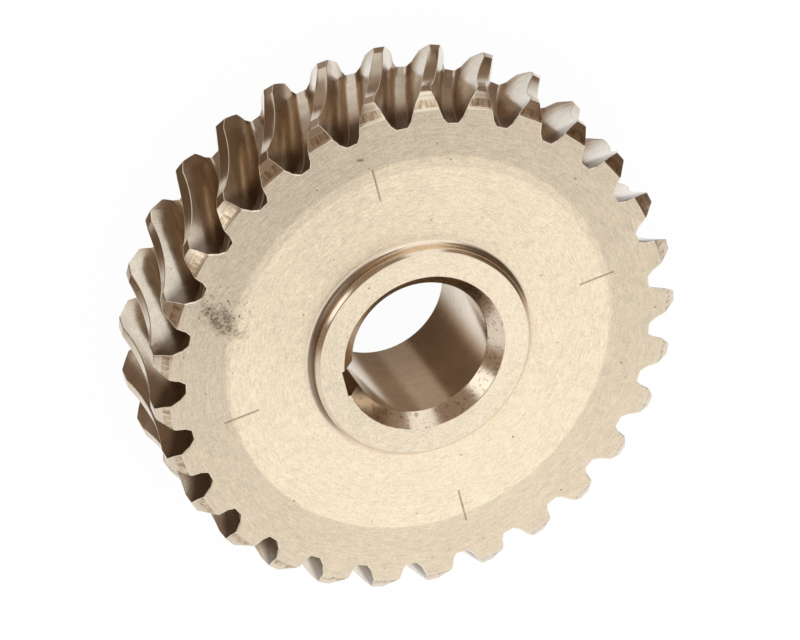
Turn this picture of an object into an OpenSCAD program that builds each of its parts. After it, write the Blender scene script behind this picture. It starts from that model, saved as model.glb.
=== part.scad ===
// Bronze worm wheel, one piece: a throated, hobbed rim on a plain disc with a low
// hub boss, a keyed bore and four index marks on the marked face.
// Millimetres. The wheel lies flat: axis on Z, back face on z = 0, marked face up,
// keyway on +X. The teeth are the envelope of the mating worm, worked out plane by
// plane, so the flanks, shoulders and flat, throated roots follow from the worm's own
// numbers.

/* [Part to show] */
// node to draw: "all" or the name of one node

/* [Tooth system] */
// number of teeth on the wheel
teeth = 29; // [20:1:60]
// axial module of the pair (axial pitch of the worm divided by pi)
axial_module = 3.82; // [3.2:0.01:4.4]
// number of starts of the mating worm; sets how steeply the teeth lie
worm_starts = 6; // [1:1:8]
// pitch diameter of the mating worm
worm_pitch_d = 60.5; // [52:0.5:70]
// pressure angle of the worm thread in its axial section, degrees
pressure_angle = 14.5; // [12:0.5:22]
// share of the axial pitch that the gap takes at the pitch line
gap_share = 0.5; // [0.44:0.005:0.54]
// depth of the gap below the pitch line at the middle of the rim
dedendum = 4.25; // [3.6:0.05:5]
// width of the flat land at the cutter's tip, which leaves the flat strip at the root
tip_width = 2.4; // [0.8:0.05:3.4]
// height of the sloped corner beside that land, which leaves the shoulder below a flank
tip_corner = 1.15; // [0.3:0.05:2]

/* [Rim] */
// width of the rim from the back face to the marked face
face_width = 30.5; // [24:0.5:36]
// largest diameter over the teeth, next to the throat
outside_d = 122.9; // [121:0.1:126]
// diameter over the teeth at the bottom of the throat
throat_d = 119.6; // [117:0.1:121]
// radius of the hollow throat across the rim
throat_r = 28; // [24:0.5:40]
// inner band of the rim chamfer on the marked face, measured radially
chamfer_inner_w = 1.75; // [0.5:0.05:2.5]
// inner band of that chamfer, measured along the axis
chamfer_inner_h = 1.75; // [0.5:0.05:2.5]
// outer band of the rim chamfer on the marked face, measured radially
chamfer_outer_w = 1.45; // [0.5:0.05:2.5]
// outer band of that chamfer, measured along the axis
chamfer_outer_h = 1.2; // [0.5:0.05:2.5]
// rim chamfer on the back face, the same radially and along the axis
back_chamfer = 3; // [0.5:0.1:4]

/* [Hub boss] */
// outside diameter of the hub boss
hub_d = 50.8; // [46:0.1:60]
// height of the hub boss above the marked face
hub_h = 3.25; // [2:0.05:8]
// chamfer round the top edge of the boss
hub_edge = 0.8; // [0.2:0.1:1.2]
// fillet where the boss meets the marked face
hub_fillet = 1.4; // [0.4:0.1:1.8]

/* [Bore and keyway] */
// diameter of the bore
bore_d = 31.75; // [25:0.05:34]
// countersink of the bore at the hub face, measured radially
countersink_w = 3; // [0.5:0.1:4]
// countersink of the bore at the hub face, measured along the axis
countersink_h = 3.2; // [0.5:0.1:4]
// edge break of the bore at the back face
back_break = 0.5; // [0.2:0.1:1.5]
// width of the keyway
key_w = 6.35; // [4:0.05:10]
// distance from the wheel's axis to the floor of the keyway
key_floor = 19.1; // [18.2:0.05:20.5]

/* [Index marks] */
// distance from the axis to the inner end of each scribed mark
mark_in = 38.8; // [32:0.1:42]
// distance from the axis to the outer end of each scribed mark
mark_out = 47.2; // [44:0.1:50]
// width of the scribed line
mark_w = 0.35; // [0.2:0.05:1]
// depth of the scribed line
mark_depth = 0.15; // [0.05:0.05:0.5]

/* [Hidden] */
wheel_pr = teeth * axial_module / 2;
worm_pr = worm_pitch_d / 2;
centre = wheel_pr + worm_pr;
// the cutter's reach, and the thread's advance per radian of turn
cut_r = worm_pr + dedendum;
advance = worm_starts * axial_module / 2;
half_gap = gap_share * PI * axial_module / 2;
// where the thread's flank ends and the sloped corner of its tip begins
shoulder_r = cut_r - tip_corner;
shoulder_half = half_gap - (shoulder_r - worm_pr) * tan(pressure_angle);
out_r = outside_d / 2;
mid_z = face_width / 2;
top_z = face_width + hub_h;
// how many planes the gap is worked out in, and points up each flank
planes = 8;
rises = 6;
// trial points along the thread's flank for each point of the wheel's flank
trials = 24;
spill = 0.7;

// half thickness of the worm's thread at distance rho from the worm's axis
function thread_half(rho) =
    rho <= shoulder_r ? half_gap - (rho - worm_pr) * tan(pressure_angle)
                      : tip_width / 2 + (shoulder_half - tip_width / 2)
                        * (cut_r - min(rho, cut_r)) / tip_corner;

// radius of the wheel's root in the plane at height h from the middle of the rim
function root_r(h) = centre - sqrt(cut_r * cut_r - h * h);

// wheel angles that the thread reaches at wheel radius r in the plane h; the gap's
// side is the furthest of them. side = 1 is one flank, -1 the other
function reach(r, h, side) =
    let (deep = sqrt(cut_r * cut_r - h * h),
         from = min(centre - r, deep))
    [for (k = [0 : trials])
        let (y = deep - (deep - from) * pow(k / trials, 2),
             x = sqrt(max(r * r - pow(centre - y, 2), 0)),
             turn = atan2(x, centre - y) - x / wheel_pr * 180 / PI,
             lean = advance / wheel_pr * atan2(h, y),
             half = thread_half(sqrt(y * y + h * h)) / wheel_pr * 180 / PI)
        lean + side * (half + abs(turn))];

function flank(r, h, side) = side > 0 ? max(reach(r, h, 1)) : min(reach(r, h, -1));

// radius of point k of a flank, counted from the root: two steps up the shoulder, and
// the rest evenly up the flank
function rise_r(k, h) =
    let (r0 = root_r(h), r2 = r0 + tip_corner, r1 = out_r + spill)
    k <= 2 ? r0 + tip_corner * k / 2 : r2 + (r1 - r2) * (k - 2) / (rises - 2);

// the gap's outline in one plane: down one flank and up the other
function gap_ring(h) = concat(
    [for (k = [rises : -1 : 0])
        let (r = rise_r(k, h), w = flank(r, h, 1)) [r * cos(w), r * sin(w), mid_z + h]],
    [for (k = [0 : rises])
        let (r = rise_r(k, h), w = flank(r, h, -1)) [r * cos(w), r * sin(w), mid_z + h]]);

ring_n = 2 * rises + 2;
reach_z = mid_z + 0.4;
// turn that brings a gap's root at the marked face onto +X, in line with the keyway
root_turn = (flank(root_r(mid_z), mid_z, 1) + flank(root_r(mid_z), mid_z, -1)) / 2;

module gap() {
    pts = [for (i = [0 : planes]) each gap_ring(-reach_z + 2 * reach_z * i / planes)];
    last = planes * ring_n;
    sides = [for (i = [0 : planes - 1], j = [0 : ring_n - 1])
        let (a = i * ring_n + j, b = i * ring_n + (j + 1) % ring_n)
        each [[a, a + ring_n, b], [b, a + ring_n, b + ring_n]]];
    ends = [for (j = [0 : rises - 1])
        let (a = j, b = j + 1, c = ring_n - 2 - j, d = ring_n - 1 - j)
        each [[a, b, c], [a, c, d], [last + a, last + c, last + b],
              [last + a, last + d, last + c]]];
    polyhedron(points = pts, faces = concat(sides, ends), convexity = 4);
}

// half section of the turned blank: bore side first, then round the outside
module section() {
    b = bore_d / 2;
    cw = chamfer_inner_w + chamfer_outer_w;
    ch = chamfer_inner_h + chamfer_outer_h;
    difference() {
        polygon([
            [b, back_break], [b + back_break, 0],
            [out_r - back_chamfer, 0], [out_r, back_chamfer],
            [out_r, face_width - ch],
            [out_r - chamfer_outer_w, face_width - chamfer_inner_h],
            [out_r - cw, face_width],
            [hub_d / 2, face_width],
            [hub_d / 2, top_z - hub_edge], [hub_d / 2 - hub_edge, top_z],
            [b + countersink_w, top_z], [b, top_z - countersink_h]]);
        translate([throat_d / 2 + throat_r, mid_z]) circle(r = throat_r, $fn = 128);
    }
    difference() {
        translate([hub_d / 2 - 0.01, face_width - 0.01]) square(hub_fillet + 0.01);
        translate([hub_d / 2 + hub_fillet, face_width + hub_fillet])
            circle(r = hub_fillet, $fn = 64);
    }
}

module worm_gear() {
    color([0.78, 0.66, 0.47])
    difference() {
        rotate_extrude($fn = 180) section();
        for (i = [0 : teeth - 1]) rotate([0, 0, i * 360 / teeth - root_turn]) gap();
        translate([0, -key_w / 2, -1]) cube([key_floor, key_w, top_z + 2]);
        for (i = [0 : 3]) rotate([0, 0, 90 * i])
            translate([mark_in, -mark_w / 2, face_width - mark_depth])
                cube([mark_out - mark_in, mark_w, mark_depth + 1]);
    }
}

worm_gear();
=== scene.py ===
"""A bronze worm wheel: throated, hobbed rim, turned disc, hub boss and keyed bore.

Metres, in the packed model's frame: the wheel lies flat on its back face, axis on Z,
marked face up, keyway on +X. The tooth gaps are the envelope of the mating worm,
worked out plane by plane, so every flank, shoulder and root follows from the worm.
"""

import math

import bmesh
import bpy
from bpy.props import FloatProperty, FloatVectorProperty, IntProperty, PointerProperty
from mathutils import Matrix, Vector


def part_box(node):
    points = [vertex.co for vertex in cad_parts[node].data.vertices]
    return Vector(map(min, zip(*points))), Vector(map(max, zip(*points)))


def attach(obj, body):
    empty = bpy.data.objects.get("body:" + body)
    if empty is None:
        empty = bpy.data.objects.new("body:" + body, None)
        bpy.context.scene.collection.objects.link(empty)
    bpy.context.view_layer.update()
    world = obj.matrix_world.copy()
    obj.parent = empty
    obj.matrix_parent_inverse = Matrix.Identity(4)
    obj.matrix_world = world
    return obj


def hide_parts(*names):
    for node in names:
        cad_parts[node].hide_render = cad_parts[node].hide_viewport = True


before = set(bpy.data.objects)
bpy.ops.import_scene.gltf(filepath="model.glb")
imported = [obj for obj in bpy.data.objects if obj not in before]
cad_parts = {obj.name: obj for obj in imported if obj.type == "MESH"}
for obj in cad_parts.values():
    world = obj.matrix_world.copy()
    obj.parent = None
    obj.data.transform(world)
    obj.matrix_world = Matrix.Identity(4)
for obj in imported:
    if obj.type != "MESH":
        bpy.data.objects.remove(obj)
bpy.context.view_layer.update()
LOW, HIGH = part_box("worm_gear")

bl_info = {
    "name": "Bronze Worm Wheel",
    "version": (1, 0, 0),
    "blender": (4, 5, 0),
    "location": "View3D > Sidebar > Worm Wheel",
    "description": "Builds a throated, hobbed worm wheel with its turned and cut finishes",
    "category": "Add Mesh",
}

MM = 0.001
TINY = 1e-6           # places closer together than this count as one
DOUBLES = 2e-6        # vertices closer together than this are merged
ROOTS = 2             # faces from the middle of a root to the foot of a flank
SHOULDER = 3          # faces up the shoulder beside a root
RISES = 12            # faces up each flank, its shoulder included
CROWN = 8             # faces over a tooth's top, of which two at either end ease its edge
COLUMNS = 2 * ROOTS + CROWN   # columns of faces to each tooth pitch round the disc
THROAT = 18           # faces across the throat
TRIALS = 90           # points tried along the thread for each point of a flank
JOIN = 2.6 * MM       # how far inside the roots the disc's even columns end
COLLAR = 0.5 * MM     # width of the ring of faces round the keyway's corners
YIELD = 12            # columns on either side of the keyway that make room for it
CREASES = (22, 50)    # folds beyond these degrees stay crisp: by the shoulders, elsewhere

# Places on the marked face: middle and half sizes in millimetres, turn in degrees
STAIN = ((41.6, -25.0), (7.4, 3.2), 123)
STREWN = ((41.0, -27.0), (11.0, 7.0), 123)
SMUDGE = ((2.1, -50.4), (0.9, 0.35), 160)
# borders of the bright disc: middle, radius and softness in millimetres
BORDERS = (((0, 0.5), 44.6, 0.35), ((-0.3, -1.2), 45.5, 0.6))
# painted shade round the foot of the boss: direction, and how far it goes to either side, in
# degrees
BOSS_SHADE = ((-22, 62), (211, 30))
# darkest and brightest bars of the rim's chatter, as factors
BARS = ((0.46, 0.38, 0.30), (1.0, 0.97, 0.92))

# What bronze reflects, by direction: parts of it along Z, where 1 is overhead, and Y
ROOM = (0.30, 0.37)       # level of the room round the wheel, and overhead
HORIZON = (-0.12, 0.12)   # Z at which the table below gives way to the room
OVERHEAD = (0.80, 0.99)   # Z at which the room gives way to what is overhead
TABLE = (-0.2, 0.32, 0.15, 0.96)   # Y at the table's dark side and at its bright one, levels
TABLE_TURN = -0.12        # share of X that counts with that Y
WARM = (1.0, 0.58, 0.30)  # colour of the dimmest places
WHITENING = 1.3           # how fast that colour turns white as the level rises
# soft places, later ones over earlier ones: direction round Z, height and half width in
# degrees, level
PATCHES = (
    (55, 45, 28, 0.55), (40, 14, 34, 0.88), (112, 18, 44, 1.0), (108, 52, 34, 1.02),
    (-165, 78, 18, 0.85), (-140, 55, 25, 1.2), (-142, -55, 21, 0.26), (-108, -53, 15, 0.4),
    (-122, -36, 14, 0.66), (-105, -11, 23, 0.88), (-122, 21, 15, 1.1), (-135, 3, 9, 1.1),
    (-38, 8, 15, 0.65), (-38, 27, 13, 1.4), (174, 10, 24, 0.15), (-176, -20, 20, 0.15),
    (-50, -38, 22, 0.14), (-22, -14, 12, 0.85), (0, -88, 13, 0.8))
SOFTNESS = (1.25, 0.75)   # shares of the half width at which a place begins and is full

FLOOR_REACH = 6.0         # from the floor's middle to its sides
FLOOR_GAP = 0.0002        # keeps the floor clear of the wheel's back face
FLOOR_SHINE = 0.96        # how much of the floor is plain white; the rest takes the shadow


def length(mm, name, about, **more):
    """A size in the sidebar, given here in millimetres."""
    return FloatProperty(name=name, description=about, default=mm * MM, min=0.0,
                         subtype="DISTANCE", unit="LENGTH", precision=5, **more)


def shade(rgb, name, about):
    """A colour in the sidebar, given as it would be read off a screen."""
    linear = [c / 12.92 if c <= 0.04045 else ((c + 0.055) / 1.055) ** 2.4
              for c in (v / 255 for v in rgb)]
    return FloatVectorProperty(name=name, description=about, default=linear, size=3,
                               subtype="COLOR", min=0.0, max=1.0)


class WheelToothing(bpy.types.PropertyGroup):
    """The pair's numbers, which give every gap its shape"""

    teeth: IntProperty(name="Teeth", description="Teeth on the wheel", default=29, min=12)
    module: length(3.82, "Axial module", "Axial pitch of the worm divided by pi")
    starts: IntProperty(name="Worm starts", description="Starts of the mating worm",
                        default=6, min=1)
    worm_diameter: length(60.5, "Worm pitch diameter", "Pitch diameter of the mating worm")
    pressure_angle: FloatProperty(
        name="Pressure angle", description="Slope of the worm's thread in its axial section",
        default=math.radians(14.5), subtype="ANGLE", unit="ROTATION")
    gap_share: FloatProperty(name="Gap share", description="Share of the pitch that the gap takes",
                             default=0.5, subtype="FACTOR", min=0.3, max=0.7)
    dedendum: length(4.22, "Dedendum", "Depth of the gap below the pitch line")
    tip_width: length(2.35, "Cutter tip", "Width of the flat land at the cutter's tip")
    tip_corner: length(1.15, "Cutter corner", "Height of the sloped corner beside that land")


class WheelBlank(bpy.types.PropertyGroup):
    """The turned rim that the teeth are cut in"""

    outside: length(122.85, "Outside diameter", "Largest diameter over the teeth")
    throat_diameter: length(119.6, "Throat diameter", "Diameter at the bottom of the throat")
    throat_radius: length(28.0, "Throat radius", "Radius of the hollow across the rim")
    inner_width: length(1.75, "Inner band width", "Chamfer's inner band, measured radially")
    inner_height: length(1.75, "Inner band height", "Chamfer's inner band, along the axis")
    outer_width: length(1.45, "Outer band width", "Chamfer's outer band, measured radially")
    outer_height: length(1.2, "Outer band height", "Chamfer's outer band, along the axis")
    back_chamfer: length(3.0, "Back chamfer", "Chamfer round the back face")
    corner: length(0.3, "Corner rounding", "Rounding of the rim's turned corners")
    burr: length(0.2, "Edge break", "Break of the sharp edges that the hob left")


class WheelHub(bpy.types.PropertyGroup):
    """Disc, hub boss, bore, keyway and the four scribed marks"""

    boss: length(50.8, "Boss diameter", "Outside diameter of the hub boss")
    boss_edge: length(0.8, "Boss chamfer", "Chamfer round the top of the boss")
    boss_round: length(0.2, "Boss rounding", "Rounding of that chamfer's corners")
    boss_fillet: length(1.4, "Boss fillet", "Fillet at the foot of the boss")
    boss_height: length(3.25, "Boss height", "Height of the boss above the marked face")
    bore: length(31.75, "Bore", "Diameter of the bore")
    sink_width: length(3.0, "Countersink width", "Countersink, measured radially")
    sink_height: length(3.2, "Countersink depth", "Countersink, along the axis")
    back_break: length(0.5, "Back break", "Edge break of the bore at the back")
    key_width: length(6.35, "Keyway width", "Width of the keyway")
    key_floor: length(19.1, "Keyway floor", "From the axis to the floor of the keyway")
    mark_in: length(38.8, "Mark start", "From the axis to the inner end of a mark")
    mark_out: length(47.2, "Mark end", "From the axis to the outer end of a mark")
    mark_width: length(0.36, "Mark width", "Width of a scribed mark")
    mark_depth: length(0.14, "Mark depth", "Depth of a scribed mark")
    fine: length(0.12, "Fine rounding", "Rounding of the edges of the bore and the keyway")


class WheelFinish(bpy.types.PropertyGroup):
    """Colours of the bronze, as cut in each place"""

    disc: shade((248, 231, 203), "Disc", "Bright turned disc round the hub")
    ring: shade((221, 206, 182), "Ring", "Duller ring outside the disc")
    hub: shade((243, 228, 203), "Hub face", "Turned top of the boss")
    teeth: shade((236, 224, 206), "Teeth", "Hobbed flanks and roots")
    # painted highlight: the bright colour painted on the eased edges along the teeth
    edge: shade((252, 242, 222), "Edges", "Worn edges along the teeth")
    # painted highlight: the colour of the bright line painted at the foot of each flank
    foot: shade((255, 248, 236), "Foot line", "Fine bright line at the foot of each flank")
    land: shade((236, 221, 199), "Rim", "Turned rim between the gaps")
    bore: shade((233, 216, 194), "Bore", "Bored and countersunk surfaces")
    # painted shade: the browner colour painted down in the tooth gaps
    painted_gap_shade: shade((194, 168, 138), "Recess", "Browner bronze down in the tooth gaps")
    slot: shade((128, 98, 70), "Keyway", "Dull broached walls of the keyway")
    # the dark colour of tarnish, pits and stain, also used for painted shade in the gaps and round
    # the boss
    dark: shade((74, 52, 36), "Tarnish", "Brown tarnish in pits and stain")


class WheelStage(bpy.types.PropertyGroup):
    """Where the camera stands, and the floor's colour"""

    eye: FloatVectorProperty(name="Eye", description="Camera position", size=3,
                             default=(0.340521, -0.992360, 1.630987), subtype="TRANSLATION")
    ahead: FloatVectorProperty(name="Ahead", description="Viewing direction", size=3,
                               default=(-0.17694537, 0.51544403, -0.8384556), subtype="XYZ")
    above: FloatVectorProperty(name="Above", description="Upward direction in the frame", size=3,
                               default=(-0.35741593, -0.82739268, -0.43321497), subtype="XYZ")
    lens: FloatProperty(name="Lens", description="Focal length", default=387.84,
                        subtype="DISTANCE_CAMERA")
    floor: shade((255, 255, 255), "Floor", "Colour of the floor and the backdrop")


# ---------------------------------------------------------------- the cutter


class Cutter:
    """The hob, with the mating worm's form, and how far it reaches into the wheel."""

    def __init__(self, t):
        self.pitch_r = t.teeth * t.module / 2
        self.worm_r = t.worm_diameter / 2
        self.centre = self.pitch_r + self.worm_r
        self.reach = self.worm_r + t.dedendum
        self.advance = t.starts * t.module / 2
        self.half = t.gap_share * math.pi * t.module / 2
        self.slope = math.tan(t.pressure_angle)
        self.flat = t.tip_width / 2
        self.corner = t.tip_corner

    def thread(self, rho):
        """Half thickness of the thread at a distance from the worm's axis."""
        shoulder = self.reach - self.corner
        side = self.half - (min(rho, shoulder) - self.worm_r) * self.slope
        down = max(min(rho, self.reach) - shoulder, 0) / self.corner
        return side + (self.flat - side) * down

    def root(self, h):
        """Radius of the wheel's root in the plane at height h from mid-width."""
        return self.centre - math.sqrt(self.reach ** 2 - h * h)

    def side(self, r, h, hand):
        """Angle at which the gap's side crosses radius r in that plane."""
        deep = math.sqrt(self.reach ** 2 - h * h)
        near = min(self.centre - r, deep)
        reached = []
        for k in range(TRIALS + 1):
            y = deep - (deep - near) * (k / TRIALS) ** 2
            x = math.sqrt(max(r * r - (self.centre - y) ** 2, 0))
            turn = abs(math.atan2(x, self.centre - y) - x / self.pitch_r)
            lean = self.advance / self.pitch_r * math.atan2(h, y)
            reached.append(hand * lean + self.thread(math.hypot(y, h)) / self.pitch_r + turn)
        return hand * max(reached)

    def middle(self, h):
        """Angle of the middle of the root in that plane."""
        r = self.root(h)
        return (self.side(r, h, 1) + self.side(r, h, -1)) / 2


# ------------------------------------------------------------- mesh helpers


def polar(radius, angle, z):
    return Vector((radius * math.cos(angle), radius * math.sin(angle), z))


def between(a, b, share):
    """The polar point (radius, angle) at a share of the way from one to another."""
    return a[0] + (b[0] - a[0]) * share, a[1] + (b[1] - a[1]) * share


def sheet(bm, across, along, place, paint):
    """A grid of faces, each corner moved to place(i, j); paint(i, j) gives its finish."""
    made = bmesh.ops.create_grid(bm, x_segments=across, y_segments=along, size=0.5)["verts"]
    index = {}
    for v in made:
        index[v] = (round((v.co.x + 0.5) * across), round((v.co.y + 0.5) * along))
    for face in {f for v in made for f in v.link_faces}:
        i = min(index[v][0] for v in face.verts)
        j = min(index[v][1] for v in face.verts)
        face.material_index = paint(i, j)
        face.smooth = True
    for v, (i, j) in index.items():
        v.co = place(i, j)


def turned(bm, section, steps):
    """Spins a half section round the axis, once its corners are rounded.

    Each of its points is a radius, a height, a rounding, and how many faces lead on
    from it.
    """
    chain = [bm.verts.new((r, 0, z)) for r, z, _, _ in section]
    links = [bm.edges.new(pair) for pair in zip(chain, chain[1:])]
    for edge, point in zip(links, section):
        if point[3] > 1:
            bmesh.ops.subdivide_edges(bm, edges=[edge], cuts=point[3] - 1)
    for size in sorted({point[2] for point in section} - {0}):
        corners = [Vector((r, 0, z)) for r, z, own, _ in section if own == size]
        verts = [v for v in bm.verts if any((v.co - c).length < 0.1 * TINY for c in corners)]
        bmesh.ops.bevel(bm, geom=verts, offset=size, segments=2, profile=0.5,
                        affect="VERTICES", material=-1)
    bmesh.ops.spin(bm, geom=bm.verts[:] + bm.edges[:], cent=(0, 0, 0), axis=(0, 0, 1),
                   angle=math.tau, steps=steps, use_merge=True, use_duplicate=False)
    for face in bm.faces:
        face.smooth = True


FACE, TOOTH, LAND, BORE, EDGE = range(5)


def rim_stations(b, width):
    """(z, blank radius, how far the gap's edge is eased) from the marked face to the back.

    Each turned corner is rounded by the points on either side of it, which stand off it
    by shares of the corner rounding c or the edge break e.
    """
    out, c, e = b.outside / 2, b.corner, b.burr
    edge = out - b.inner_width - b.outer_width
    top = [(width, edge - 0.6 * c, e),
           (width - 0.35 * e, edge - 0.12 * c, 0.35 * e),
           (width - e, edge + 0.45 * e, 0.0),
           (width - 1.6 * c, edge + 1.6 * c * b.inner_width / b.inner_height, 0.0)]
    ledge = width - b.inner_height
    r_ledge = edge + b.inner_width
    top += [(ledge + 0.5 * c, r_ledge - 0.5 * c * b.inner_width / b.inner_height, 0.0),
            (ledge - 0.4 * c, r_ledge + 0.4 * c * b.outer_width / b.outer_height, 0.0)]
    rim = ledge - b.outer_height
    top += [(rim + 0.55 * c, out - 0.75 * c, 0.0), (rim - 0.1 * c, out - 0.16 * c, 0.0),
            (rim - 0.9 * c, out, 0.0)]
    axis = b.throat_diameter / 2 + b.throat_radius
    half = math.sqrt(b.throat_radius ** 2 - (axis - out) ** 2)
    lip = width / 2 + half
    top += [(lip + 0.5 * (rim - 0.9 * c - lip), out, 0.0), (lip + 0.2 * c, out, 0.0)]
    arc = []
    for k in range(THROAT + 1):
        swing = math.asin(half / b.throat_radius) * (1 - 2 * k / THROAT)
        arc.append((width / 2 + b.throat_radius * math.sin(swing),
                    axis - b.throat_radius * math.cos(swing), 0.0))
    foot = b.back_chamfer
    back = [(width - lip - 0.2 * c, out, 0.0), (foot + 0.9 * c, out, 0.0),
            (foot + 0.1 * c, out - 0.16 * c, 0.0), (foot - 0.55 * c, out - 0.75 * c, 0.0),
            (foot / 2, out - foot / 2, 0.0), (e, out - foot + e, 0.0),
            (0.35 * e, out - foot - 0.12 * c, 0.35 * e), (0.0, out - foot - 0.6 * c, e)]
    return top + arc + back


def tooth_row(cutter, h, blank, ease, burr, pitch, start):
    """Polar points (radius, angle) across one tooth in the plane at height h."""
    low, top = cutter.root(h) - ease, blank - burr

    def wall(r, hand):
        at = r + ease if ease else max(r, low + 0.1 * TINY)
        return cutter.side(at, h, hand) + hand * ease / at

    # a few steps up the shoulder that the cutter's corner leaves, the rest up the flank
    bend, rest = low + cutter.corner, RISES - SHOULDER
    levels = [low + (bend - low) * k / SHOULDER for k in range(SHOULDER)]
    levels += [bend + (top - bend) * k / rest for k in range(rest + 1)]
    ups = [(r, wall(r, 1)) for r in levels]
    downs = [(r, wall(r, -1) + pitch) for r in levels]
    # the crown is a land between two eased edges
    left, right = ups[-1][1], downs[-1][1]
    nub, flat = 0.3 * burr, CROWN - 4
    ends = (blank, left + burr / blank), (blank, right - burr / blank)
    crown = [(blank - nub, left + nub / blank)]
    crown += [between(*ends, k / flat) for k in range(flat + 1)]
    crown += [(blank - nub, right - nub / blank)]
    middle = cutter.middle(h)
    row = [(low, middle), (low, (middle + ups[0][1]) / 2)] + ups + crown + downs[::-1]
    row += [(low, (middle + pitch + downs[0][1]) / 2), (low, middle + pitch)]
    return [(r, a + start) for r, a in row]


def tooth_end(bm, row, z, steps, hub_side):
    """One face of one tooth: its end, and the ring that joins it to the disc's columns."""
    first, last = ROOTS, len(row) - 1 - ROOTS        # the foot of either flank
    crown = row[first + RISES:last - RISES + 1]
    shift = round(row[0][1] * steps / math.tau / COLUMNS) * COLUMNS

    def end(i, k):
        if k == RISES:
            return polar(*crown[i], z)
        return polar(*between(row[first + k], row[last - k], i / CROWN), z)

    def ring(i, k):
        if i <= first:
            outer = row[i]
        elif i >= first + CROWN:
            outer = row[last + i - first - CROWN]
        else:
            outer = between(row[first], row[last], (i - first) / CROWN)
        inner = hub_side, (shift + i) * math.tau / steps
        return polar(*between(outer, inner, k / 2), z)

    sheet(bm, CROWN, RISES, end, lambda i, k: FACE)
    sheet(bm, COLUMNS, 2, ring, lambda i, k: FACE)


def hobbed_rim(bm, t, b, width, hub_side):
    """All the teeth, both faces' tooth ends, and the rings that join them to the disc."""
    cutter, pitch = Cutter(t), math.tau / t.teeth
    mid = width / 2
    start = -cutter.middle(mid)  # a gap's root on the marked face is in line with the keyway
    stations = rim_stations(b, width)
    rows = [tooth_row(cutter, max(min(z - mid, mid), -mid), r, ease, b.burr, pitch, start)
            for z, r, ease in stations]
    across = len(rows[0]) - 1
    edge = ROOTS + RISES + 2
    lands = range(edge, across - edge)

    def paint(i, j):
        if i in lands:
            return LAND
        # the eased edges beside each crown and at the marked face take the painted highlight
        return EDGE if j < 2 or i + 1 in lands or i - 1 in lands else TOOTH

    sheet(bm, across, len(stations) - 1, lambda i, j: polar(*rows[j][i], stations[j][0]), paint)
    for row, z in ((rows[0], width), (rows[-1], 0.0)):
        tooth_end(bm, row, z, COLUMNS * t.teeth, hub_side)
    bmesh.ops.remove_doubles(bm, verts=bm.verts[:], dist=DOUBLES)
    bmesh.ops.spin(bm, geom=bm.verts[:] + bm.edges[:] + bm.faces[:], cent=(0, 0, 0),
                   axis=(0, 0, 1), angle=pitch * (t.teeth - 1), steps=t.teeth - 1,
                   use_duplicate=True)


def disc_and_bore(bm, u, width, high, hub_side, steps):
    """The disc, hub boss and bore, spun from their half section."""
    boss, bore = u.boss / 2, u.bore / 2
    wide = math.hypot(u.key_floor, u.key_width / 2)
    fillet = []
    for turn in range(0, 91, 15):
        a = math.radians(turn)
        fillet.append((boss + u.boss_fillet * (1 - math.sin(a)),
                       width + u.boss_fillet * (1 - math.cos(a)), 0, 1))
    turned(bm, [
        (hub_side, width, 0, 3), (u.mark_out, width, 0, 4), (u.mark_in, width, 0, 6), *fillet,
        (boss, high - u.boss_edge, u.boss_round, 1), (boss - u.boss_edge, high, u.boss_round, 2),
        (wide + COLLAR, high, 0, 1), (wide, high, 0, 1),
        (bore + u.sink_width, high, u.fine, 3), (bore, high - u.sink_height, u.fine, 8),
        (bore, u.back_break, u.fine, 1), (bore + u.back_break, 0, u.fine, 1),
        (wide, 0, 0, 1), (wide + COLLAR, 0, 0, 10), (hub_side, 0, 0, 1)], steps)


def cut_keyway(bm, u, high, steps):
    """Draws the columns beside the keyway onto its walls, and opens what is between them."""
    half, floor, step = u.key_width / 2, u.key_floor, math.tau / steps
    wide = math.hypot(floor, half)
    near = wide + 0.6 * COLLAR
    beside = round(math.asin(half / (u.bore / 2)) / step)
    loose = beside + YIELD
    for v in bm.verts:
        r = math.hypot(v.co.x, v.co.y)
        column = math.atan2(v.co.y, v.co.x) / step
        if r > near or abs(column) > loose:
            continue
        wall = math.asin(half / r) / step
        if abs(column) > beside + 0.01:
            share = (abs(column) - beside) / (loose - beside)
            column = math.copysign(wall + (loose - wall) * share, column)
        else:
            column *= wall / beside
            if abs(r - wide) < 10 * TINY:
                r = floor / math.cos(column * step)
        v.co = polar(r, column * step, v.co.z)
    inside = []
    for face in bm.faces:
        middle = face.calc_center_median()
        if 0 < middle.x < floor - TINY and abs(middle.y) < half - TINY:
            inside.append(face)
    bmesh.ops.delete(bm, geom=inside, context="FACES")

    def along(axis, at):
        return [e for e in rim if all(abs(v.co[axis] - at) < TINY for v in e.verts)]

    rim = [e for e in bm.edges if len(e.link_faces) == 1
           and max(math.hypot(v.co.x, v.co.y) for v in e.verts) < near]
    walls, uprights = [], []
    for y in (half, -half):
        ends = [min((v for e in rim for v in e.verts),
                    key=lambda v: (v.co - Vector((floor, y, z))).length) for z in (high, 0.0)]
        uprights.append(bm.edges.new(ends))
        walls += bmesh.ops.contextual_create(bm, geom=along(1, y) + uprights[-1:])["faces"]
    walls += bmesh.ops.contextual_create(bm, geom=along(0, floor) + uprights)["faces"]
    for face in walls:
        face.smooth = True
    bmesh.ops.recalc_face_normals(bm, faces=bm.faces[:])
    edges = [e for e in bm.edges if len(e.link_faces) == 2
             and sum(f in walls for f in e.link_faces) == 1]
    bmesh.ops.bevel(bm, geom=edges, offset=u.fine, segments=2, profile=0.5,
                    affect="EDGES", material=-1, clamp_overlap=True)


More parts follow.
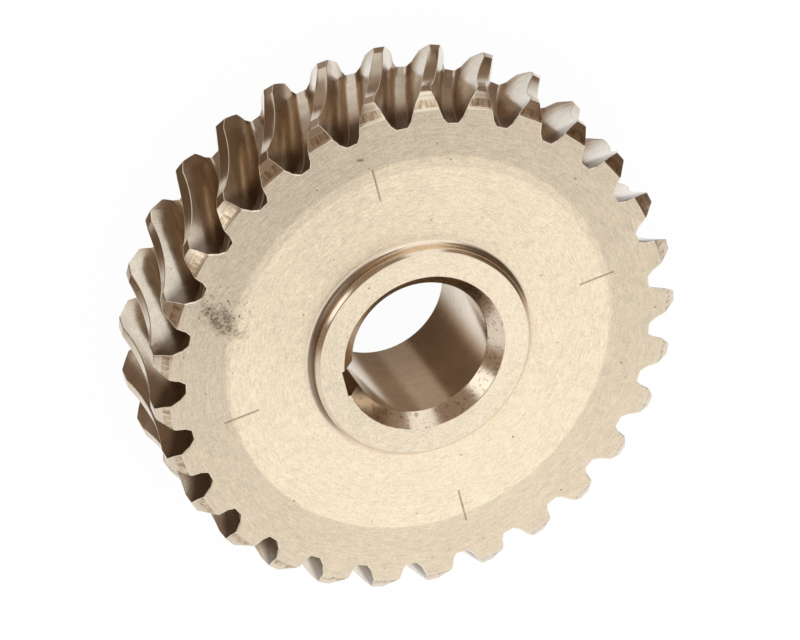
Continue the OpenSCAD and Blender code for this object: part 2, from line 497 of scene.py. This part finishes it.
def scribe(bm, u, width):
    """Four short grooves on the marked face, cut where a column of edges runs."""
    slack = 10 * TINY
    lines = []
    for edge in bm.edges:
        a, b = (v.co for v in edge.verts)
        near, far = sorted((math.hypot(*a.xy), math.hypot(*b.xy)))
        on_face = max(abs(a.z - width), abs(b.z - width)) < TINY
        on_axis = min(abs(a.x) + abs(b.x), abs(a.y) + abs(b.y)) < TINY
        if on_face and on_axis and near > u.mark_in - slack and far < u.mark_out + slack:
            lines.append(edge)
    bmesh.ops.bevel(bm, geom=lines, offset=u.mark_width / 2, segments=2, profile=0.5,
                    affect="EDGES", material=-1)
    for v in bm.verts:
        inside = u.mark_in + slack < math.hypot(*v.co.xy) < u.mark_out - slack
        if inside and abs(v.co.z - width) < TINY and min(abs(v.co.x), abs(v.co.y)) < 0.1 * TINY:
            v.co.z -= u.mark_depth


def paint_turned(bm, u):
    """Flat faces get the face finish, the bore, boss and keyway the bored one."""
    foot = u.boss / 2 + u.boss_fillet
    for face in bm.faces:
        face.normal_update()
        beyond = math.hypot(*face.calc_center_median().xy) > foot
        face.material_index = FACE if beyond or abs(face.normal.z) > 0.995 else BORE


# ----------------------------------------------------------------- finishes


class Nodes:
    """Short ways to lay out the nodes of a material or a world."""

    def __init__(self, owner):
        owner.use_nodes = True
        self.owner, self.tree, self.count = owner, owner.node_tree, 0
        self.tree.nodes.clear()

    def add(self, kind, inputs=None, **settings):
        node = self.tree.nodes.new("ShaderNode" + kind)
        for key, value in settings.items():
            setattr(node, key, value)
        for key, value in (inputs or {}).items():
            self.feed(node.inputs[key], value)
        self.count += 1
        node.location = (200 * (self.count % 12), -260 * (self.count // 12))
        return node

    def feed(self, socket, value):
        if isinstance(value, bpy.types.NodeSocket):
            self.tree.links.new(value, socket)
        elif isinstance(value, bpy.types.Node):
            self.tree.links.new(value.outputs[0], socket)
        elif hasattr(value, "__len__") and len(value) == 3 and len(socket.default_value) == 4:
            socket.default_value = (*value, 1.0)
        else:
            socket.default_value = value

    def math(self, operation, *values, clamp=False):
        node = self.add("Math", operation=operation, use_clamp=clamp)
        for socket, value in zip(node.inputs, values):
            self.feed(socket, value)
        return node.outputs[0]

    def fold(self, operation, first, *rest):
        """One operation over several values."""
        for value in rest:
            first = self.math(operation, first, value)
        return first

    def hypot(self, a, b):
        return self.math("SQRT", self.math("ADD", self.math("MULTIPLY", a, a),
                                           self.math("MULTIPLY", b, b)))

    def dot(self, a, b):
        node = self.add("VectorMath", {0: a, 1: b}, operation="DOT_PRODUCT")
        return node.outputs["Value"]

    def spread(self, value, low, high, to_low=0.0, to_high=1.0, smooth=True):
        """A value between low and high, eased into the range from to_low to to_high."""
        node = self.add("MapRange", interpolation_type="SMOOTHSTEP" if smooth else "LINEAR")
        for key, v in (("Value", value), ("From Min", low), ("From Max", high),
                       ("To Min", to_low), ("To Max", to_high)):
            self.feed(node.inputs[key], v)
        return node.outputs[0]

    def blend(self, share, a, b):
        """The first value at a share of 0, the second at 1."""
        return self.spread(share, 0.0, 1.0, a, b, smooth=False)

    def band(self, value, begin, full, stay, end):
        """1 from full to stay, easing off to 0 at begin and at end."""
        return self.math("MULTIPLY", self.spread(value, begin, full),
                         self.spread(value, end, stay))

    def mix(self, factor, a, b, blend="MIX"):
        node = self.add("Mix", data_type="RGBA", blend_type=blend)
        for key, value in (("Factor", factor), ("A", a), ("B", b)):
            self.feed(node.inputs[key], value)
        return node.outputs["Result"]

    def grey(self, level):
        return self.add("CombineXYZ", {"X": level, "Y": level, "Z": level})

    def noise(self, vector, scale, detail, rough=0.5):
        node = self.add("TexNoise", {"Vector": vector, "Scale": scale, "Detail": detail,
                                     "Roughness": rough}, noise_dimensions="3D")
        return node.outputs["Fac"]


class Finish(Nodes):
    """Nodes of one bronze finish, and where on the wheel a point of it lies.

    where holds its Object coordinates in metres, x, y and z are their parts, and radius
    and angle go with the axis. Sizes handed to the methods are in millimetres.
    """

    def __init__(self, name, colours):
        super().__init__(bpy.data.materials.get(name) or bpy.data.materials.new(name))
        self.dark = tuple(colours.dark)
        self.where = self.add("TexCoord").outputs["Object"]
        self.x, self.y, self.z = self.add("SeparateXYZ", {"Vector": self.where}).outputs
        self.radius = self.hypot(self.x, self.y)
        self.angle = self.math("ARCTAN2", self.y, self.x)

    def grain(self, size, detail=2.0):
        """Even mottling whose patches are about this size."""
        return self.noise(self.where, 1.0 / (size * MM), detail)

    def rings(self, radius, pitch, waver):
        """Turning lines along a radius, a little uneven round the axis."""
        line = self.add("CombineXYZ", {"X": self.math("MULTIPLY", radius, 1.0 / (pitch * MM)),
                                       "Y": self.math("MULTIPLY", self.angle, waver)})
        return self.noise(line, 1.0, 2.0, 0.6)

    def pits(self, apart, size, share, strength):
        """Sparse dark specks: one in this share of the cells, of up to this size."""
        ragged = self.add("TexNoise", {"Vector": self.where, "Scale": 2.2 / (size * MM)})
        bent = self.add("VectorMath", {0: ragged.outputs["Color"], 1: (0.5 * size * MM,) * 3,
                                       2: self.where}, operation="MULTIPLY_ADD")
        cell = self.add("TexVoronoi", {"Vector": bent.outputs["Vector"],
                                       "Scale": 1.0 / (apart * MM)})
        pick = self.add("SeparateColor", {"Color": cell.outputs["Color"]})
        reach = self.math("MULTIPLY", self.math("MULTIPLY_ADD", pick.outputs[1], 0.75, 0.25),
                          0.5 * size / apart)
        inside = self.spread(self.math("DIVIDE", cell.outputs["Distance"], reach), 1.15, 0.75)
        return self.fold("MULTIPLY", inside,
                         self.math("LESS_THAN", pick.outputs[0], share), strength)

    def oval(self, height, middle, half, turn):
        """Distance from the middle of an oval place at a height in metres, 1 at its edge."""
        inside = self.add("Mapping", {
            "Vector": self.where, "Location": (middle[0] * MM, middle[1] * MM, height),
            "Rotation": (0, 0, math.radians(turn)),
            "Scale": (half[0] * MM, half[1] * MM, 0.2 * MM)}, vector_type="TEXTURE")
        return self.add("VectorMath", {0: inside}, operation="LENGTH").outputs["Value"]

    def varied(self, level, *parts):
        """A level made uneven by noises, each given with its share."""
        for noise, share in parts:
            level = self.math("ADD", level, self.math("MULTIPLY_ADD", noise, share, -0.5 * share))
        return level

    def toned(self, colour, tone):
        return self.mix(1.0, colour, self.grey(tone), "MULTIPLY")

    # darkens a colour toward the dark one: real stains and pits, and painted shade
    def soil_and_shade(self, colour, amount):
        return self.mix(amount, colour, self.dark)

    def metal(self, colour, rough, relief=None, depth=0.0):
        """Ends the finish, with a relief of that depth, and gives its material."""
        surface = self.add("BsdfPrincipled", {"Base Color": colour, "Roughness": rough,
                                              "Metallic": 1.0})
        if relief is not None:
            bump = self.add("Bump", {"Height": relief, "Strength": 1.0, "Distance": depth * MM})
            self.feed(surface.inputs["Normal"], bump)
        self.add("OutputMaterial", {"Surface": surface})
        return self.owner


def bronze_faces(c, u, width):
    """Turned faces: bright disc, duller ring, hub top, a painted sheen to one side, the stain and
    the fine lines.
    """
    n = Finish("bronze_turned", c)
    fine, coarse = n.rings(n.radius, 0.22, 14.0), n.rings(n.radius, 0.9, 2.4)
    mottle, blotch, cloud = n.grain(0.42, 3.0), n.grain(1.8, 3.0), n.grain(7.0, 4.0)
    # the bright disc stops at one circle, and an in-between tone at another, off centre
    past = []
    for middle, reach, soft in BORDERS:
        off = n.math("SUBTRACT", n.oval(width, middle, (1, 1), 0), 0.3)
        off = n.math("MULTIPLY_ADD", coarse, 0.6, off)
        past.append(n.spread(off, reach - soft, reach + soft))
    ring = n.math("MULTIPLY", past[0], n.math("MULTIPLY_ADD", past[1], 0.6, 0.4))
    on_boss = n.spread(n.z, width + 2.0 * MM, width + 2.1 * MM)
    colour = n.mix(ring, tuple(c.disc), tuple(c.ring))
    colour = n.mix(on_boss, colour, tuple(c.hub))
    # painted sheen and shade, as light falls: the turned rings are painted brighter toward +Y and
    # darker toward -Y, with a darker wedge toward +X and -Y, and the hub top a little darker
    # toward +X
    cosine = n.math("COSINE", n.angle)
    outward = n.add("CombineXYZ", {"X": cosine, "Y": n.math("SINE", n.angle)})
    disc = n.math("MULTIPLY_ADD", n.dot(outward, (-0.1, 0.99, 0)), n.blend(ring, 0.05, 0.13), 1.0)
    disc = n.math("SUBTRACT", disc,
                  n.spread(n.dot(outward, (0.57, -0.82, 0)), 0.72, 0.90, 0.0, 0.05))
    tone = n.blend(on_boss, disc, n.math("MULTIPLY_ADD", cosine, -0.06, 1.0))
    tone = n.varied(tone, (fine, 0.62), (coarse, 0.14), (mottle, 0.52), (blotch, 0.2),
                    (cloud, 0.14))
    colour = n.toned(colour, tone)
    # the dark, speckled stain beside the rim, with dots strewn round it, and a small smudge
    core = n.math("SUBTRACT", n.oval(width, *STAIN), 0.8)
    core = n.math("MULTIPLY_ADD", n.grain(2.2, 4.0), 1.6, core)
    dots = n.spread(n.grain(0.7, 3.0), 0.42, 0.60)
    stain = n.math("MULTIPLY", n.spread(core, 1.15, 0.35),
                   n.math("MULTIPLY_ADD", dots, 0.44, 0.30))
    strewn = n.math("MULTIPLY", n.spread(n.oval(width, *STREWN), 1.2, 0.3),
                    n.spread(n.grain(0.8), 0.61, 0.67, 0.0, 0.75))
    smudge = n.spread(n.oval(width, *SMUDGE), 1.3, 0.5, 0.0, 0.6)
    # the four scribed marks hold dirt
    aside = n.math("MINIMUM", n.math("ABSOLUTE", n.x), n.math("ABSOLUTE", n.y))
    mark = n.fold("MULTIPLY", n.spread(aside, 0.30 * MM, 0.14 * MM),
                  n.band(n.radius, u.mark_in, u.mark_in + 0.1 * MM,
                         u.mark_out - 0.1 * MM, u.mark_out),
                  n.math("MULTIPLY_ADD", mottle, 0.9, 0.05, clamp=True))
    specks = n.pits(2.6, 0.55, 0.34, 0.6)
    colour = n.soil_and_shade(colour, n.fold("MAXIMUM", stain, strewn, smudge, mark, specks))
    return n.metal(colour, n.math("MULTIPLY_ADD", mottle, 0.12, 0.36),
                   n.math("MULTIPLY_ADD", mottle, 0.8, fine), 0.012)


def bronze_teeth(c, cutter, width):
    """Hobbed flanks and roots: smooth, with painted shade browner toward the root and darker
    toward the marked face, a painted highlight at each flank's foot, and a few dark dots.
    """
    n = Finish("bronze_hobbed", c)
    mottle, patchy, cloud = n.grain(0.45), n.grain(2.2), n.grain(5.0, 3.0)
    # distance from the worm's axis, which grows toward the root all across the rim
    deep = n.hypot(n.math("SUBTRACT", cutter.centre, n.radius),
                   n.math("SUBTRACT", n.z, width / 2))
    # painted shade: the gaps are painted browner toward their roots
    painted_gap_shade = n.spread(n.math("MULTIPLY_ADD", cloud, 1.5 * MM, deep),
                      cutter.worm_r - 0.5 * MM, cutter.reach - 0.5 * MM)
    # painted shade: the gaps are painted darker toward the marked face
    front_shade = n.math("MULTIPLY_ADD", n.math("SUBTRACT", deep, cutter.worm_r), 1.7, n.z)
    front_shade = n.spread(n.math("MULTIPLY_ADD", cloud, 4 * MM, front_shade),
                     width - 11 * MM, width - 3 * MM)
    # painted shade: the walls are painted browner than the flat strip at the root
    wall = n.spread(deep, cutter.reach - 0.2 * MM, cutter.reach - 0.4 * MM)
    wall = n.math("MAXIMUM", front_shade, n.spread(wall, 0.0, 1.0, 0.15, 0.95))
    colour = n.mix(n.math("MULTIPLY", painted_gap_shade, wall), tuple(c.teeth), tuple(c.painted_gap_shade))
    # painted shade, darkest toward the marked face
    colour = n.soil_and_shade(colour, n.math("MULTIPLY", front_shade, 0.72))
    # painted highlight: a fine bright line painted at the foot of either flank, where the crease
    # catches light
    foot = n.band(deep, cutter.reach - 0.36 * MM, cutter.reach - 0.22 * MM,
                  cutter.reach - 0.12 * MM, cutter.reach - 0.04 * MM)
    colour = n.mix(n.math("MULTIPLY", foot, 0.5), colour, tuple(c.foot))
    colour = n.toned(colour, n.varied(0.98, (mottle, 0.30), (cloud, 0.26), (patchy, 0.34)))
    colour = n.soil_and_shade(colour, n.pits(1.8, 0.45, 0.3, 0.8))
    rough = n.math("MULTIPLY_ADD", painted_gap_shade, 0.14, n.math("MULTIPLY_ADD", cloud, 0.12, 0.13))
    return n.metal(colour, rough, n.math("MULTIPLY_ADD", patchy, 2.0, mottle), 0.008)


def bronze_edge_glint(c):
    """Eased edges of the teeth: a painted highlight, brighter and softer than the surfaces beside
    them.
    """
    n = Finish("bronze_edge_glint", c)
    tone = n.math("MULTIPLY_ADD", n.grain(0.8), 0.5, 0.72, clamp=True)
    return n.metal(n.toned(tuple(c.edge), tone), 0.4)


def bronze_land(c, b, width):
    """Turned rim between the gaps: chatter on the inner band, lines on the outer one."""
    n = Finish("bronze_land", c)
    edge = b.outside / 2 - b.inner_width - b.outer_width
    ledge = width - b.inner_height
    rim = ledge - b.outer_height
    mottle = n.grain(0.4)
    lines = n.rings(n.math("MULTIPLY_ADD", n.z, -0.7, n.radius), 0.36, 0.8)
    # bars of chatter, 58 to a radian, that change along the radius
    along = n.add("CombineXYZ", {"X": n.math("MULTIPLY", n.angle, 58.0),
                                 "Y": n.math("MULTIPLY", n.radius, 420.0)})
    chatter = n.noise(along, 1.0, 3.0, 0.6)
    inner = n.math("MULTIPLY", n.spread(n.radius, edge + 0.25 * MM, edge + 0.4 * MM),
                   n.spread(n.z, ledge - 0.02 * MM, ledge + 0.06 * MM))
    bars = n.mix(n.spread(chatter, 0.30, 0.70), *BARS)
    banded = n.spread(n.z, rim - 0.05 * MM, rim + 0.05 * MM)
    plain = n.blend(banded, n.math("MULTIPLY_ADD", mottle, 0.2, 0.72),
                    n.math("MULTIPLY_ADD", lines, 0.9, 0.45, clamp=True))
    tone = n.mix(inner, n.grey(plain), bars)
    colour = n.mix(1.0, tuple(c.land), tone, "MULTIPLY")
    colour = n.soil_and_shade(colour, n.pits(1.8, 0.45, 0.3, 0.8))
    relief = n.math("MULTIPLY_ADD", chatter, n.math("MULTIPLY", inner, 2.0),
                    n.math("MULTIPLY", lines, banded))
    return n.metal(colour, n.math("MULTIPLY_ADD", mottle, 0.10, 0.13), relief, 0.008)


def bronze_bore(c, u, width):
    """Bored and countersunk surfaces: fine lines round the axis, scuffs, a dull keyway."""
    n = Finish("bronze_bored", c)
    bore, boss, key = u.bore / 2, u.boss / 2, u.key_width / 2
    lines = n.rings(n.math("MULTIPLY_ADD", n.z, 1.3, n.radius), 0.12, 0.8)
    mottle, cloud = n.grain(0.45), n.grain(4.0, 3.0)
    slot = n.fold("MULTIPLY", n.spread(n.x, bore - 0.3 * MM, bore),
                  n.spread(n.math("ABSOLUTE", n.y), key + 0.05 * MM, key + 0.02 * MM),
                  n.math("LESS_THAN", n.radius, u.key_floor + 1.0 * MM))
    # the bore is darker toward the back
    tone = n.math("MULTIPLY", n.varied(0.99, (lines, 0.12), (cloud, 0.26)),
                  n.spread(n.z, 2 * MM, 22 * MM, 0.72, 1.0))
    colour = n.toned(n.mix(slot, tuple(c.bore), tuple(c.slot)), tone)
    # painted shade round the foot of the boss, on two sides of it
    sides = []
    for toward, reach in BOSS_SHADE:
        off = n.math("COSINE", n.math("SUBTRACT", n.angle, math.radians(toward)))
        sides.append(n.spread(off, math.cos(math.radians(reach)),
                              math.cos(math.radians(reach / 2))))
    boss_shade = n.fold("MULTIPLY", n.spread(n.z, width + 2.2 * MM, width + 1.6 * MM),
                  n.band(n.radius, boss - 0.3 * MM, boss - 0.1 * MM,
                         boss + 0.5 * MM, boss + 1.3 * MM),
                  n.math("MAXIMUM", *sides), 0.66)
    colour = n.soil_and_shade(colour, boss_shade)
    # the countersink is scuffed and stained
    sink = n.math("MULTIPLY", n.spread(n.z, width + 0.1 * MM, width + 0.4 * MM),
                  n.math("LESS_THAN", n.radius, bore + u.sink_width + 0.3 * MM))
    scuff = n.math("MULTIPLY", n.spread(n.grain(0.9, 4.0), 0.52, 0.72, 0.0, 0.5),
                   n.math("MULTIPLY_ADD", sink, 0.75, 0.25))
    colour = n.soil_and_shade(colour, n.math("MAXIMUM", scuff, n.pits(2.2, 0.45, 0.3, 0.7)))
    rough = n.math("MULTIPLY_ADD", boss_shade, 0.2, n.math("MULTIPLY_ADD", cloud, 0.12, 0.10))
    return n.metal(colour, rough, n.math("ADD", lines, mottle), 0.005)


# -------------------------------------------------------------------- stage


def studio():
    """White to the camera and to diffuse light; to bronze, a dim room with soft places."""
    world = bpy.data.worlds.new("studio")
    world.cycles.sampling_method = "NONE"
    n = Nodes(world)
    look = n.add("TexCoord").outputs["Generated"]
    x, y, height = n.add("SeparateXYZ", {"Vector": look}).outputs
    table = n.spread(n.math("MULTIPLY_ADD", x, TABLE_TURN, y), *TABLE)
    room = n.spread(height, *HORIZON, table, n.spread(height, *OVERHEAD, *ROOM))
    for turn, rise, half, level in PATCHES:
        a, e = math.radians(turn), math.radians(rise)
        toward = (math.cos(a) * math.cos(e), math.sin(a) * math.cos(e), math.sin(e))
        begin, full = (math.cos(math.radians(half * share)) for share in SOFTNESS)
        room = n.blend(n.spread(n.dot(look, toward), begin, full), room, level)
    path = n.add("LightPath")
    plain = n.math("MAXIMUM", path.outputs["Is Camera Ray"], path.outputs["Is Diffuse Ray"])
    level = n.blend(plain, room, 1.0)
    colour = n.mix(n.math("MULTIPLY", level, WHITENING, clamp=True), WARM, (1.0, 1.0, 1.0))
    n.add("OutputWorld", {"Surface": n.add("Background", {"Color": colour, "Strength": level})})
    return world


def white_floor(s):
    """A plane that is nearly plain white to the camera and keeps the wheel's shadow."""
    bm = bmesh.new()
    bmesh.ops.create_grid(bm, x_segments=1, y_segments=1, size=FLOOR_REACH)
    mesh = bpy.data.meshes.new("floor")
    bm.to_mesh(mesh)
    bm.free()
    n = Nodes(bpy.data.materials.new("floor_white"))
    path = n.add("LightPath")
    seen = n.math("MAXIMUM", path.outputs["Is Camera Ray"], path.outputs["Is Transmission Ray"])
    plain = n.add("BsdfDiffuse", {"Color": tuple(s.floor)})
    bright = n.add("Emission", {"Color": tuple(s.floor), "Strength": 1.0})
    both = n.add("MixShader", {0: n.math("MULTIPLY", seen, FLOOR_SHINE), 1: plain, 2: bright})
    n.add("OutputMaterial", {"Surface": both})
    mesh.materials.append(n.owner)
    floor = bpy.data.objects.new("floor", mesh)
    floor.location.z = LOW.z - FLOOR_GAP
    floor.visible_glossy = False  # bronze reflects the studio's own table instead
    return floor


def photo_camera(s):
    """The camera, which stands and looks as the photograph's did."""
    camera = bpy.data.cameras.new("camera")
    camera.lens = s.lens
    camera.sensor_width = 36.0
    camera.clip_end = 50.0
    ahead, above = Vector(s.ahead).normalized(), Vector(s.above).normalized()
    right = ahead.cross(above).normalized()
    turn = Matrix((right, right.cross(ahead), -ahead)).transposed()
    stand = bpy.data.objects.new("camera", camera)
    stand.matrix_world = Matrix.Translation(Vector(s.eye)) @ turn.to_4x4()
    return stand


# ---------------------------------------------------------------- operators


class MESH_OT_worm_wheel(bpy.types.Operator):
    """Model the whole wheel: hobbed rim, disc, hub boss, keyed bore and marks"""

    bl_idname = "mesh.worm_wheel"
    bl_label = "Worm Wheel"
    bl_options = {"REGISTER", "UNDO"}

    def execute(self, context):
        scene = context.scene
        t, b, u = scene.wheel_toothing, scene.wheel_blank, scene.wheel_hub
        high = HIGH.z - LOW.z
        width = high - u.boss_height
        cutter, steps = Cutter(t), COLUMNS * t.teeth
        hub_side = cutter.root(width / 2) - JOIN
        core = bmesh.new()
        disc_and_bore(core, u, width, high, hub_side, steps)
        cut_keyway(core, u, high, steps)
        scribe(core, u, width)
        paint_turned(core, u)
        body = bpy.data.meshes.new("worm_wheel_core")
        core.to_mesh(body)
        core.free()
        wheel = bmesh.new()
        hobbed_rim(wheel, t, b, width, hub_side)
        wheel.from_mesh(body)
        bpy.data.meshes.remove(body)
        bmesh.ops.remove_doubles(wheel, verts=wheel.verts[:], dist=DOUBLES)
        bmesh.ops.recalc_face_normals(wheel, faces=wheel.faces[:])
        for face in wheel.faces:
            face.smooth = True
        # the creases on either side of the shoulder are crisp, all else is eased
        shoulder = cutter.reach - cutter.corner - 0.25 * MM
        for edge in wheel.edges:
            deep = all(math.hypot(cutter.centre - math.hypot(*v.co.xy), v.co.z - width / 2)
                       > shoulder and b.burr < v.co.z < width - b.burr for v in edge.verts)
            if edge.calc_face_angle(0) > math.radians(CREASES[0 if deep else 1]):
                edge.smooth = False
        open_edges = sum(len(e.link_faces) != 2 for e in wheel.edges)
        if open_edges:
            raise RuntimeError(f"the wheel's mesh has {open_edges} open edges")
        mesh = bpy.data.meshes.new("worm_wheel")
        wheel.to_mesh(mesh)
        wheel.free()
        piece = bpy.data.objects.new("worm_wheel", mesh)
        scene.collection.objects.link(piece)
        soften = piece.modifiers.new("Weighted Normals", "WEIGHTED_NORMAL")
        soften.mode = "FACE_AREA_WITH_ANGLE"
        soften.keep_sharp = True
        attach(piece, "root")
        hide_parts("worm_gear")
        return {"FINISHED"}


class MATERIAL_OT_worm_wheel_finish(bpy.types.Operator):
    """Give the wheel its turned, hobbed and bored bronze finishes"""

    bl_idname = "material.worm_wheel_finish"
    bl_label = "Bronze Finishes"
    bl_options = {"REGISTER", "UNDO"}

    def execute(self, context):
        scene = context.scene
        c, b, u = scene.wheel_finish, scene.wheel_blank, scene.wheel_hub
        width = HIGH.z - LOW.z - u.boss_height
        slots = bpy.data.objects["worm_wheel"].data.materials
        # in the order of FACE, TOOTH, LAND, BORE and EDGE
        finishes = (bronze_faces(c, u, width),
                    bronze_teeth(c, Cutter(scene.wheel_toothing), width),
                    bronze_land(c, b, width), bronze_bore(c, u, width), bronze_edge_glint(c))
        for k, material in enumerate(finishes):
            if k < len(slots):
                slots[k] = material
            else:
                slots.append(material)
        return {"FINISHED"}


class SCENE_OT_worm_wheel_stage(bpy.types.Operator):
    """Set out the floor, the soft light and the camera"""

    bl_idname = "scene.worm_wheel_stage"
    bl_label = "Stage"
    bl_options = {"REGISTER", "UNDO"}

    def execute(self, context):
        scene, s = context.scene, context.scene.wheel_stage
        floor = white_floor(s)
        scene.collection.objects.link(floor)
        scene.world = studio()
        scene.camera = photo_camera(s)
        scene.collection.objects.link(scene.camera)
        scene.view_settings.view_transform = "Standard"
        return {"FINISHED"}


class VIEW3D_PT_worm_wheel(bpy.types.Panel):
    """The wheel's sizes, finishes and stage"""

    bl_label = "Worm Wheel"
    bl_idname = "VIEW3D_PT_worm_wheel"
    bl_space_type = "VIEW_3D"
    bl_region_type = "UI"
    bl_category = "Worm Wheel"

    def draw(self, context):
        for name, kind, operator in GROUPS:
            box = self.layout.box()
            box.label(text=kind.__doc__)
            for prop in kind.__annotations__:
                box.prop(getattr(context.scene, name), prop)
            if operator:
                box.operator(operator.bl_idname)


# each group of settings, and the operator that is shown below it
GROUPS = (("wheel_toothing", WheelToothing, None),
          ("wheel_blank", WheelBlank, None),
          ("wheel_hub", WheelHub, MESH_OT_worm_wheel),
          ("wheel_finish", WheelFinish, MATERIAL_OT_worm_wheel_finish),
          ("wheel_stage", WheelStage, SCENE_OT_worm_wheel_stage))
CLASSES = (WheelToothing, WheelBlank, WheelHub, WheelFinish, WheelStage, MESH_OT_worm_wheel,
           MATERIAL_OT_worm_wheel_finish, SCENE_OT_worm_wheel_stage, VIEW3D_PT_worm_wheel)


def register():
    for cls in CLASSES:
        bpy.utils.register_class(cls)
    for name, kind, _ in GROUPS:
        setattr(bpy.types.Scene, name, PointerProperty(type=kind))


def unregister():
    for name, _, _ in GROUPS:
        delattr(bpy.types.Scene, name)
    for cls in reversed(CLASSES):
        bpy.utils.unregister_class(cls)


def main():
    register()
    bpy.ops.mesh.worm_wheel()
    bpy.ops.material.worm_wheel_finish()
    bpy.ops.scene.worm_wheel_stage()


if __name__ == "__main__":
    main()
